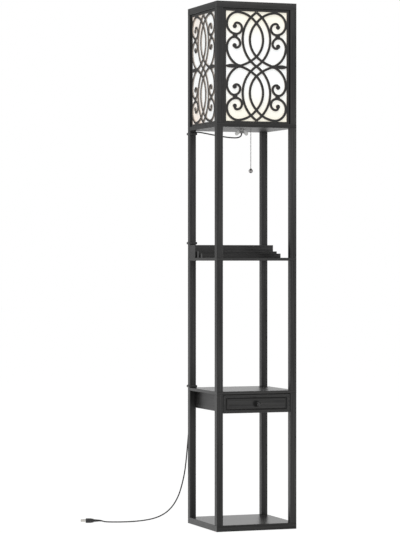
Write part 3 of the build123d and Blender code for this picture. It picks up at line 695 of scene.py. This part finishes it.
# %% Plated metals
hub_shade_grey = (0.16, 0.16, 0.155, 1.0)
zinc_grey = (0.50, 0.50, 0.49, 1.0)
# Painted shade: the nickel gets a darker grey for the shade of the board the chain hangs under.
shaded_nickel_grey = (0.36, 0.35, 0.345, 1.0)
bulb_cap_grey = (0.72, 0.72, 0.72, 1.0)
blade_grey = (0.66, 0.64, 0.60, 1.0)
plating_texture = (4.0, 0.6)
mottled_share = 0.8
core_outer = 1.15
core_inner = 0.85
hub_radius = 0.0075


def from_axis(tree):
    """The distance from the lamp's upright axis, in metres."""
    place = add_node(tree, "ShaderNodeTexCoord").outputs["Object"]
    flat = add_node(tree, "ShaderNodeVectorMath", {0: place, 1: (1.0, 1.0, 0.0)}, operation="MULTIPLY")
    reach = add_node(tree, "ShaderNodeVectorMath", {0: flat.outputs["Vector"]}, operation="LENGTH")
    return reach.outputs["Value"]


def plated(name, colour, roughness, mottle, scale, hub_shade_radius=0.0):
    """Plated steel; hub_shade_radius is the radius about the lamp's axis within which it is painted darker,
    as shade on the hub.
    """
    material, tree, shader = new_material(name)
    noise = stretched_noise(tree, (scale, scale, scale), *plating_texture)
    darker = tuple(mottled_share * part for part in colour[:3]) + (1.0,)
    tone = mix_colours(tree, ramp(tree, noise, *noise_range), darker, colour)
    if hub_shade_radius:
        # Painted shade: darker near the lamp's axis, for the shade on the wing nut's hub.
        core = ramp(tree, from_axis(tree), hub_shade_radius * core_outer, hub_shade_radius * core_inner)
        tone = mix_colours(tree, core, tone, hub_shade_grey)
    shine = math_node(tree, "MULTIPLY_ADD", noise, mottle, roughness - mottle / 2)
    set_inputs(tree, shader, {"Base Color": tone, "Roughness": shine, "Metallic": 1.0})
    bump(tree, shader, noise, strength=0.06, distance=0.0002)
    return material


zinc = plated("zinc_plate", zinc_grey, roughness=0.32, mottle=0.14, scale=900.0)
wing_zinc = plated(
    "wing_nut_zinc", zinc_grey, roughness=0.30, mottle=0.14, scale=900.0, hub_shade_radius=hub_radius
)
nickel = plated("nickel_plate", shaded_nickel_grey, roughness=0.14, mottle=0.06, scale=1500.0)
bulb_metal = plated("bulb_cap_metal", bulb_cap_grey, roughness=0.25, mottle=0.10, scale=700.0)
blade_metal = plated("blade_metal", blade_grey, roughness=0.24, mottle=0.10, scale=800.0)
dress(wing_zinc, "wing_nut", "nipple_washer")
dress(zinc, "nipple", "post_studs", "base_screws", "knob_screw")
dress(nickel, "pull_chain_upper", "pull_chain_lower", "chain_ball")
dress(bulb_metal, "bulb_cap")
dress(blade_metal, "plug_blades")

# %% [markdown]
# ## Plastics
# The lamp holder is hard black plastic with a slight sheen, and the cord, its plug and the strain
# relief are softer and duller. The straps that hold the cord to the post are smooth and about as
# dark as the posts. They share one recipe: a dark colour with fine moulding grain.

# %% Moulded plastic
moulding_texture = (3.0, 0.55)
moulding_dark = 0.8
moulding_light = 1.2
moulding_roughness = 0.12


def moulded(name, tone, roughness, grain_scale, grain_depth):
    material, tree, shader = new_material(name)
    grain = stretched_noise(tree, (grain_scale, grain_scale, grain_scale), *moulding_texture)
    spots = ramp(tree, grain, *noise_range)
    colour = mix_colours(tree, spots, grey(tone * moulding_dark), grey(tone * moulding_light))
    smoothest = roughness - moulding_roughness / 2
    shine = math_node(tree, "MULTIPLY_ADD", grain, moulding_roughness, smoothest)
    set_inputs(tree, shader, {"Base Color": colour, "Roughness": shine})
    bump(tree, shader, grain, strength=grain_depth, distance=0.0003)
    return material


holder_plastic = moulded("holder_plastic", tone=0.030, roughness=0.38, grain_scale=1400.0, grain_depth=0.10)
cord_plastic = moulded("cord_plastic", tone=0.020, roughness=0.50, grain_scale=2200.0, grain_depth=0.12)
strap_plastic = moulded("strap_plastic", tone=0.022, roughness=0.40, grain_scale=900.0, grain_depth=0.08)
dress(holder_plastic, "lamp_holder_cap", "lamp_holder_shell")
dress(cord_plastic, "plug_body", "cord_bushing")
dress(strap_plastic, "cord_straps")
power_cord.data.materials.append(cord_plastic)
strain_relief.data.materials.append(cord_plastic)

# %% [markdown]
# ## Drawer wood, knob and bulb
# Inside, the drawer is plain pale wood with a clear grain. Its knob is turned wood, painted black
# and glossier than the foil, so the recipe for moulded plastic suits its paint. The bulb is frosted
# glass, seen through the box's open top.

# %% Plain drawer wood
wood_dark = (0.34, 0.22, 0.13, 1.0)
wood_light = (0.52, 0.38, 0.24, 1.0)
wood_pore = (0.24, 0.15, 0.08, 1.0)
wood_roughness = 0.6
ring_scale = (60.0, 5.0, 60.0)
ring_texture = (4.0, 0.6, 1.2)
ring_range = (0.35, 0.65)
wood_pore_scale = (900.0, 30.0, 900.0)
wood_pore_range = (0.60, 0.75)


def plain_wood():
    material, tree, shader = new_material("drawer_wood")
    rings = stretched_noise(tree, ring_scale, *ring_texture)
    pores = stretched_noise(tree, wood_pore_scale, *fine_texture)
    colour = mix_colours(tree, ramp(tree, rings, *ring_range), wood_dark, wood_light)
    colour = mix_colours(tree, ramp(tree, pores, *wood_pore_range), colour, wood_pore)
    set_inputs(tree, shader, {"Base Color": colour, "Roughness": wood_roughness})
    bump(tree, shader, pores, strength=0.2, distance=0.0003)
    return material


dress(plain_wood(), "drawer_sides", "drawer_back", "drawer_floor")

# %% Painted knob
painted_knob = moulded("painted_knob", tone=0.014, roughness=0.20, grain_scale=500.0, grain_depth=0.05)
dress(painted_knob, "drawer_knob")

# %% Frosted bulb
frost_scale = (1200.0, 1200.0, 1200.0)
frost_grey = (0.86, 0.86, 0.84, 1.0)
frost_white = (0.95, 0.95, 0.93, 1.0)
bulb_light = (1.0, 0.97, 0.90, 1.0)


def frosted_glass():
    material, tree, shader = new_material("frosted_glass")
    frost = stretched_noise(tree, frost_scale, *fine_texture)
    glass = {
        "Base Color": mix_colours(tree, frost, frost_grey, frost_white),
        "Roughness": 0.35,
        "Transmission Weight": 0.35,
        "Emission Color": bulb_light,
        "Emission Strength": 0.25,
    }
    set_inputs(tree, shader, glass)
    return material


dress(frosted_glass(), "bulb_glass")

# %% [markdown]
# ## Studio
# The photograph has a pure white ground with next to no shadow. The floor and the world show white
# to the camera, while the light on the lamp comes from soft panels and a grey world, so that a white
# backdrop doesn't wash the black laminate out. In reflections the world is white behind and to the
# right of the lamp, and grey in front and to the left, so that the posts' left faces, which the eye
# meets at a slant, don't shine white.

# %% Light that only the eye sees as white
world_light = 0.62
world_front = 0.38
backdrop_start = -0.35
backdrop_full = 0.25


def light_path(tree):
    return add_node(tree, "ShaderNodeLightPath").outputs


def seen_mask(tree):
    """1 for rays of the camera, of reflections and through glass."""
    path = light_path(tree)
    seen = math_node(tree, "MAXIMUM", path["Is Camera Ray"], path["Is Glossy Ray"])
    return math_node(tree, "MAXIMUM", seen, path["Is Transmission Ray"])


def make_world():
    world = bpy.data.worlds.new("white_studio")
    bpy.context.scene.world = world
    world.use_nodes = True
    tree = world.node_tree
    generated = add_node(tree, "ShaderNodeTexCoord").outputs["Generated"]
    direction = add_node(tree, "ShaderNodeSeparateXYZ", {"Vector": generated}).outputs
    behind = ramp(tree, direction["Y"], backdrop_start, backdrop_full)
    rightward = ramp(tree, direction["X"], backdrop_start, backdrop_full)
    bright = math_node(tree, "MULTIPLY", behind, rightward)
    glossy = math_node(tree, "MULTIPLY_ADD", bright, 1.0 - world_front, world_front)
    path = light_path(tree)
    reflected = math_node(tree, "MAXIMUM", path["Is Glossy Ray"], path["Is Transmission Ray"])
    strength = math_node(tree, "MULTIPLY", reflected, glossy)
    strength = math_node(tree, "MAXIMUM", strength, path["Is Camera Ray"])
    unseen = math_node(tree, "SUBTRACT", 1.0, seen_mask(tree))
    strength = math_node(tree, "MULTIPLY_ADD", unseen, world_light, strength)
    set_inputs(tree, find_node(tree, "BACKGROUND"), {"Color": grey(1.0), "Strength": strength})


make_world()
print("world:", bpy.context.scene.world.name)

# %% Floor
floor_size = 60.0
floor_drop = 0.0002
floor_shadow = 0.20
floor_bounce = 0.8


def make_floor():
    bpy.ops.mesh.primitive_plane_add(size=floor_size, location=(0, 0, -floor_drop))
    floor = bpy.context.active_object
    floor.name = "floor"
    material, tree, shader = new_material("white_floor")
    tree.nodes.remove(shader)
    bounce = add_node(tree, "ShaderNodeBsdfDiffuse", {"Color": grey(floor_bounce)})
    faint = add_node(tree, "ShaderNodeBsdfDiffuse", {"Color": grey(floor_shadow)})
    white = add_node(tree, "ShaderNodeEmission", {"Strength": 1.0 - floor_shadow * world_light})
    shown = add_node(tree, "ShaderNodeAddShader", {0: faint.outputs[0], 1: white.outputs[0]})
    parts = {0: seen_mask(tree), 1: bounce.outputs[0], 2: shown.outputs[0]}
    mixed = add_node(tree, "ShaderNodeMixShader", parts)
    tree.links.new(mixed.outputs[0], find_node(tree, "OUTPUT_MATERIAL").inputs["Surface"])
    floor.data.materials.append(material)


make_floor()
print("floor, m:", floor_size)

# %% Soft light panels
lamp_low_middle = (0, 0, 0.6)
lamp_middle = (0, 0, 0.8)


def soft_panel(name, place, target, size, power):
    """A square soft light that faces a target; its size is in metres and its power in watts."""
    data = bpy.data.lights.new(name, "AREA")
    data.shape = "RECTANGLE"
    data.size = size
    data.size_y = size
    data.energy = power
    panel = bpy.data.objects.new(name, data)
    panel.location = place
    panel.rotation_euler = (Vector(target) - Vector(place)).to_track_quat("-Z", "Y").to_euler()
    bpy.context.scene.collection.objects.link(panel)


soft_panel("left_panel", place=(-3.2, 0.6, 1.6), target=lamp_middle, size=2.4, power=24.0)
soft_panel("top_panel", place=(-1.3, -1.7, 4.0), target=lamp_low_middle, size=2.2, power=45.0)
soft_panel("front_panel", place=(0.8, -4.2, 1.8), target=lamp_middle, size=2.4, power=26.0)

# %% [markdown]
# ## Finish
# The view layer is brought up to date.

# %% Bring the scene up to date
bpy.context.view_layer.update()
